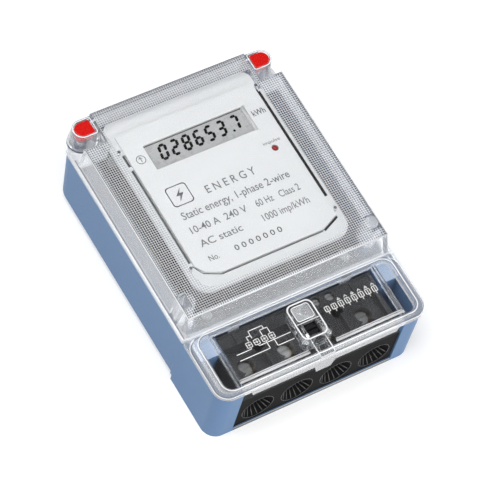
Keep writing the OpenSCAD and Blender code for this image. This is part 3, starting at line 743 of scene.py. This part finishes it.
def add_grain():
    """Fine blunt pyramids all round the smooth window of the front cover's face, with painted
    sheen and shade on their flanks and painted shade on their tops.
    """
    high = box_mm("front_cover")[1]
    z = high.z + GRAIN_GAP
    half_x, y0, y1 = 52.7, -37.7, high.y - 1.2
    columns, rows = int(2 * half_x / GRAIN_PITCH), int((y1 - y0) / GRAIN_PITCH)
    start = -columns * GRAIN_PITCH / 2
    corners = ((-1, -1), (1, -1), (1, 1), (-1, 1))
    bm = bmesh.new()
    for i in range(columns):
        for j in range(rows):
            x, y = start + (i + 0.5) * GRAIN_PITCH, y0 + (j + 0.5) * GRAIN_PITCH
            if in_window(x, y) or in_well(x, y):
                continue
            outer, inner = GRAIN_PITCH / 2, GRAIN_PITCH * GRAIN_FLAT
            base = [bm.verts.new(((x + a * outer) * MM, (y + b * outer) * MM, z * MM))
                    for a, b in corners]
            top = [bm.verts.new(((x + a * inner) * MM, (y + b * inner) * MM, (z + GRAIN_H) * MM))
                   for a, b in corners]
            bm.faces.new(reversed(base))
            # the band above the window gets darker copies of both finishes: painted shade
            at_top = y > WINDOW[3]
            facet = TOP_FACET_SHADE if at_top else SIDE_FACET_SHADE
            side = TOP_FLANK_SHEEN_AND_SHADE if at_top else FLANK_SHEEN_AND_SHADE
            bm.faces.new(top).material_index = 1 + GRAIN_FINISHES.index(facet)
            for k in range(4):
                n = (k + 1) % 4
                flank = bm.faces.new((base[k], base[n], top[n], top[k]))
                flank.material_index = 1 + GRAIN_FINISHES.index(side)
    obj = added("front_cover_grain", bm, "housing", "clear_polycarbonate")
    for material in GRAIN_FINISHES:
        obj.data.materials.append(material)
    obj.data.shade_flat()


add_grain()


# ---------------------------------------------------------------- terminal cover's prints

BOSS_RISE = 0.8
BOSS_Z = box_mm("terminal_cover")[1].z
FACE_Z = BOSS_Z - BOSS_RISE
COVER_Z = box_mm("front_cover")[1].z
FLANGE_Z = box_mm("cover_gasket")[1].z + 2.0


def print_diagrams():
    """The wiring diagram and the row of terminal marks on the terminal cover's face."""
    z0, z1 = FACE_Z, FACE_Z + INK
    bm = bmesh.new()
    for x in (-30.4, -26.4, -22.4, -18.5):
        stroke(bm, rectangle(x - 1.3, x + 1.3, -57.9, -55.3), 0.35, z0, z1, True)
        stroke(bm, [(x - 0.6, -56.6), (x + 0.6, -56.6)], 0.35, z0, z1)
        stroke(bm, [(x, -57.2), (x, -56.0)], 0.35, z0, z1)
    lines = [
        [(-27.5, -54), (-27.5, -50.3), (-20.2, -50.3), (-20.2, -52)],
        [(-29.7, -54.6), (-29.7, -52.6), (-27.5, -52.6)],
        [(-22.4, -55.3), (-22.4, -52), (-18.5, -52), (-18.5, -55.3)],
        [(-38, -58.8), (-30.4, -58.8), (-30.4, -57.9)],
        [(-26.4, -57.9), (-26.4, -58.8), (-10, -58.8)],
        [(-38, -62), (-22.4, -62), (-22.4, -57.9)],
        [(-18.5, -57.9), (-18.5, -62.3), (-10, -62.3)],
    ]
    for points in lines:
        stroke(bm, points, 0.38, z0, z1)
    for i in range(8):
        x = 11.6 + i * 3.65
        stroke(bm, rectangle(x - 1.15, x + 1.15, -57, -54.4), 0.35, z0, z1, True)
        stroke(bm, [(x, -56.4), (x, -55.0)], 0.35, z0, z1)
        stroke(bm, [(x, -58.3), (x, -57.4)], 0.3, z0, z1)
        if i > 1:
            stroke(bm, [(x - 0.7, -53.6), (x, -52.6), (x + 0.7, -53.6)], 0.3, z0, z1, i % 2 == 0)
    added("terminal_cover_diagrams", bm, "terminal_cover", "clear_polycarbonate", PRINT_WHITE)


def ring(bm, outer, inner, z0, z1):
    """A flat ring between two outlines with the same number of points."""
    count = len(outer)
    levels = [[bm.verts.new((x * MM, y * MM, z * MM)) for x, y in outline]
              for outline in (outer, inner) for z in (z0, z1)]
    out_low, out_high, in_low, in_high = levels
    for i in range(count):
        j = (i + 1) % count
        bm.faces.new((out_low[i], out_low[j], out_high[j], out_high[i]))
        bm.faces.new((in_low[j], in_low[i], in_high[i], in_high[j]))
        bm.faces.new((out_high[i], out_high[j], in_high[j], in_high[i]))
        bm.faces.new((out_low[j], out_low[i], in_low[i], in_low[j]))


def edge_levels(z):
    """Where a painted edge line starts and ends, just through the surface at z."""
    return z - 0.05, z + 0.02


def boss_edges():
    """Painted highlights along the sealing boss's edges, and the pane over its wire pocket."""
    bm = bmesh.new()
    z0, z1 = BOSS_Z - 0.06, BOSS_Z + 0.02
    ring(bm, rounded(-6.75, 6.75, -66.2, -47.1, 3.2),
         rounded(-6.05, 6.05, -65.5, -47.8, 2.7), z0, z1)
    ring(bm, rounded(-4.7, 4.7, -56.6, -48.7, 1.4),
         rounded(-4.3, 4.3, -56.2, -49.1, 1.1), z0, z1)
    stroke(bm, [(-5.6, -57.5), (5.6, -57.5)], 0.45, z0, z1)
    for side in (-1, 1):
        stroke(bm, [(side * 3.7, -66.2), (side * 3.7, -75.4)], 0.4, z0 - 0.6, z1 - 0.6)
    added("terminal_cover_boss_edge_highlights", bm, "terminal_cover", "clear_polycarbonate", EDGE_HIGHLIGHT)
    bm = bmesh.new()
    prism(bm, rounded(-4.35, 4.35, -56.3, -49.0, 1.2), FACE_Z - 0.6, FACE_Z - 0.3)
    for side in (-1, 1):
        prism(bm, arc(side * 6.0, -66.4, 1.4, 0, 330, 11), z0 - 0.6, z1 - 0.6)
    added("terminal_cover_boss_pane", bm, "terminal_cover", "clear_polycarbonate", MILKY)
    # black walls round the square pocket under the boss, which make the pocket read black
    bm = bmesh.new()
    ring(bm, rounded(-3.38, 3.38, -64.68, -57.92, 0.3), rounded(-3.1, 3.1, -64.4, -58.2, 0.2),
         FACE_Z - 4.5, BOSS_Z - 0.3)
    added("terminal_cover_pocket_black_walls", bm, "terminal_cover", "seal_screw_plastic")


WELL_CORNER_INSET = 3.35


def well_outline(side, half, inward):
    """The D outline of a seal well: half round outwards, straight side inwards."""
    low, high = box_mm("seal_cap_right")
    x, y = high.x - (high.y - low.y) / 2, (low.y + high.y) / 2
    r = half - WELL_CORNER_INSET
    points = (arc(x, y, half, -90, 90, 14) + arc(x - inward + r, y + half - r, r, 90, 180, 5)
              + arc(x - inward + r, y - half + r, r, 180, 270, 5))
    return points if side > 0 else [(-px, py) for px, py in reversed(points)]


def cover_edges():
    """Thin strips along both clear covers' edges: the white ones painted highlight, the dark ones
    painted shade.
    """
    # white rings round the terminal cover's face and flange: painted highlight
    bm = bmesh.new()
    ring(bm, rounded(-52.2, 52.2, -74.1, -43.2, 5.7), rounded(-51.7, 51.7, -73.6, -43.7, 5.2),
         *edge_levels(FACE_Z))
    ring(bm, rounded(-55.9, 55.9, -76.1, -42.3, 6.9), rounded(-55.55, 55.55, -75.75, -42.65, 6.6),
         *edge_levels(FLANGE_Z))
    added("terminal_cover_edge_highlights", bm, "terminal_cover", "clear_polycarbonate", EDGE_HIGHLIGHT)
    # dark rings just inside the terminal cover's edge highlights: painted shade
    bm = bmesh.new()
    ring(bm, rounded(-51.5, 51.5, -73.4, -43.9, 5.0), rounded(-51.25, 51.25, -73.15, -44.15, 4.8),
         *edge_levels(FACE_Z))
    ring(bm, rounded(-55.2, 55.2, -75.4, -43.0, 6.2), rounded(-54.85, 54.85, -75.05, -43.35, 5.9),
         *edge_levels(FLANGE_Z))
    added("terminal_cover_edge_shade", bm, "terminal_cover", "clear_polycarbonate", EDGE_SHADE)
    # two bright lines inside the terminal cover's lower edge: painted highlight of its rounded
    # edge
    bm = bmesh.new()
    for side in (-1, 1):
        for y, width in ((-70.4, 0.5), (-71.5, 1.2)):
            stroke(bm, [(side * 43.0, y), (side * 7.6, y)], width, *edge_levels(FACE_Z))
    added("terminal_cover_inner_edge_gleam", bm, "terminal_cover", "clear_polycarbonate", GLEAM)
    # white strips along the front cover's edges and round its seal wells: painted highlight
    bm = bmesh.new()
    stroke(bm, [(-55.6, -40.5), (-55.6, 65.6)], 0.6, *edge_levels(FLANGE_Z))
    stroke(bm, [(-53.0, -37.6), (-53.0, 58.6)], 0.5, *edge_levels(COVER_Z))
    stroke(bm, [(-52.6, -37.9), (52.6, -37.9)], 0.5, *edge_levels(COVER_Z))
    stroke(bm, [(53.0, -37.6), (53.0, 58.6)], 0.5, *edge_levels(COVER_Z))
    stroke(bm, [(-55.3, -41.3), (55.3, -41.3)], 0.5, *edge_levels(FLANGE_Z))
    for side in (-1, 1):
        ring(bm, well_outline(side, 4.7, 6.25), well_outline(side, 4.25, 5.8),
             COVER_Z - 0.56, COVER_Z - 0.46)
    added("front_cover_edge_highlights", bm, "housing", "clear_polycarbonate", EDGE_HIGHLIGHT)
    # dark lines along the front cover's edges: painted shade
    bm = bmesh.new()
    stroke(bm, [(-52.5, -37.3), (-52.5, 58.6)], 0.35, *edge_levels(COVER_Z))
    stroke(bm, [(52.5, -37.3), (52.5, 58.6)], 0.35, *edge_levels(COVER_Z))
    stroke(bm, [(-38.0, 75.0), (38.0, 75.0)], 0.35, *edge_levels(COVER_Z))
    stroke(bm, [(-54.75, -40.5), (-54.75, 62)], 0.4, *edge_levels(FLANGE_Z))
    added("front_cover_edge_shade", bm, "housing", "clear_polycarbonate", EDGE_SHADE)


def bar(bm, start, end, half):
    """A square bar between two points, given half its width."""
    start, end = Vector(start), Vector(end)
    along = (end - start).normalized()
    side = along.cross(Vector((0, 0, 1))).normalized() * half
    up = side.cross(along).normalized() * half
    rings = [[bm.verts.new((p + a * side + b * up) * MM)
              for a, b in ((-1, -1), (1, -1), (1, 1), (-1, 1))] for p in (start, end)]
    bm.faces.new(reversed(rings[0]))
    bm.faces.new(rings[1])
    for k in range(4):
        n = (k + 1) % 4
        bm.faces.new((rings[0][k], rings[0][n], rings[1][n], rings[1][k]))


CABLE_AXIS_Z = 13.3
MOUTH_R = 8.35


def funnel_ribs():
    """Guide ribs inside the cable funnels, and a raised rim round each mouth; their lighter,
    glossier black is painted highlight.
    """
    front = box_mm("terminal_block")[0].y
    throat = box_mm("terminal_1")[0].y - 1.2
    bm = bmesh.new()
    for node in ("terminal_1", "terminal_2", "terminal_3", "terminal_4"):
        low, high = box_mm(node)
        x, z = (low.x + high.x) / 2, CABLE_AXIS_Z
        for angle in range(200, 350, 20):
            a = math.radians(angle)
            bar(bm, (x + 7.9 * math.cos(a), front + 0.3, z + 7.9 * math.sin(a)),
                (x + 4.5 * math.cos(a), throat, z + 4.5 * math.sin(a)), 0.22)
        rim = [(px, front - 0.05, pz) for px, pz in arc(x, z, MOUTH_R, 0, 360, 24)]
        for p, q in zip(rim, rim[1:]):
            bar(bm, p, q, 0.12)
    added("terminal_block_funnel_ribs", bm, "housing", "terminal_plastic", RIB_HIGHLIGHT_BLACK)


def line_sill():
    """The pale and the dark strip below the cable openings."""
    y = box_mm("base_shell")[0].y
    for name, low, high, material in (("pale", 1.9, 2.55, SHOULDER_GREY),
                                      ("dark", 0.3, 1.9, PRINT_AND_SHADE_GREY)):
        bm = bmesh.new()
        for v in bmesh.ops.create_cube(bm, size=1)["verts"]:
            v.co = Vector((v.co.x * 85.0, y + 0.03 + v.co.y * 0.1,
                           (low + high) / 2 + v.co.z * (high - low))) * MM
        added(f"sill_{name}_strip", bm, "housing", "housing_plastic", material)


print_diagrams()
boss_edges()
cover_edges()
line_sill()
funnel_ribs()


# ---------------------------------------------------------------- floor and light

def add_floor():
    """A plain pale floor, just under the object."""
    bm = bmesh.new()
    bmesh.ops.create_grid(bm, x_segments=8, y_segments=8, size=3)
    m = Nodes("pale_floor")
    m.link(m.blend(m.noise(60, 3), (0.74, 0.74, 0.74), (0.76, 0.76, 0.76)),
           m.shader.inputs["Base Color"])
    m.set(Roughness=0.8, Emission_Color=(1, 1, 1, 1), Emission_Strength=0.26)
    floor = new_object("floor", bm, m.material)
    floor.location.z = cad_box[0].z - 0.05 * MM


def add_light(name, place, size, power, aim=(0, 0, 25)):
    """A soft square lamp at a place in millimetres, turned towards the object."""
    data = bpy.data.lights.new(name, "AREA")
    data.shape, data.size, data.energy = "SQUARE", size * MM, power
    lamp = bpy.data.objects.new(name, data)
    lamp.location = Vector(place) * MM
    lamp.rotation_euler = (Vector(aim) - Vector(place)).to_track_quat("-Z", "Y").to_euler()
    scene.collection.objects.link(lamp)


DARK_PATCH = (0.38, 0.37, 0.85)


def add_world():
    """Even white light all round, with a darker patch high on the far right."""
    world = bpy.data.worlds.new("studio")
    scene.world = world
    world.use_nodes = True
    tree = world.node_tree
    background = tree.nodes["Background"]
    background.inputs["Color"].default_value = (1, 1, 1, 1)
    towards = tree.nodes.new("ShaderNodeVectorMath")
    towards.operation = "DOT_PRODUCT"
    towards.inputs[1].default_value = Vector(DARK_PATCH).normalized()
    tree.links.new(tree.nodes.new("ShaderNodeTexCoord").outputs["Generated"], towards.inputs[0])
    strength = tree.nodes.new("ShaderNodeMapRange")
    strength.interpolation_type = "SMOOTHSTEP"
    tree.links.new(towards.outputs["Value"], strength.inputs["Value"])
    for key, value in zip(("From Min", "From Max", "To Min", "To Max"), (0.74, 0.93, 0.9, 0.12)):
        strength.inputs[key].default_value = value
    tree.links.new(strength.outputs["Result"], background.inputs["Strength"])


scene.view_settings.view_transform = "Standard"
add_world()
add_floor()
add_light("overhead", (-450, 100, 1200), 800, 9)
add_light("near_end", (300, -1000, 450), 500, 5)
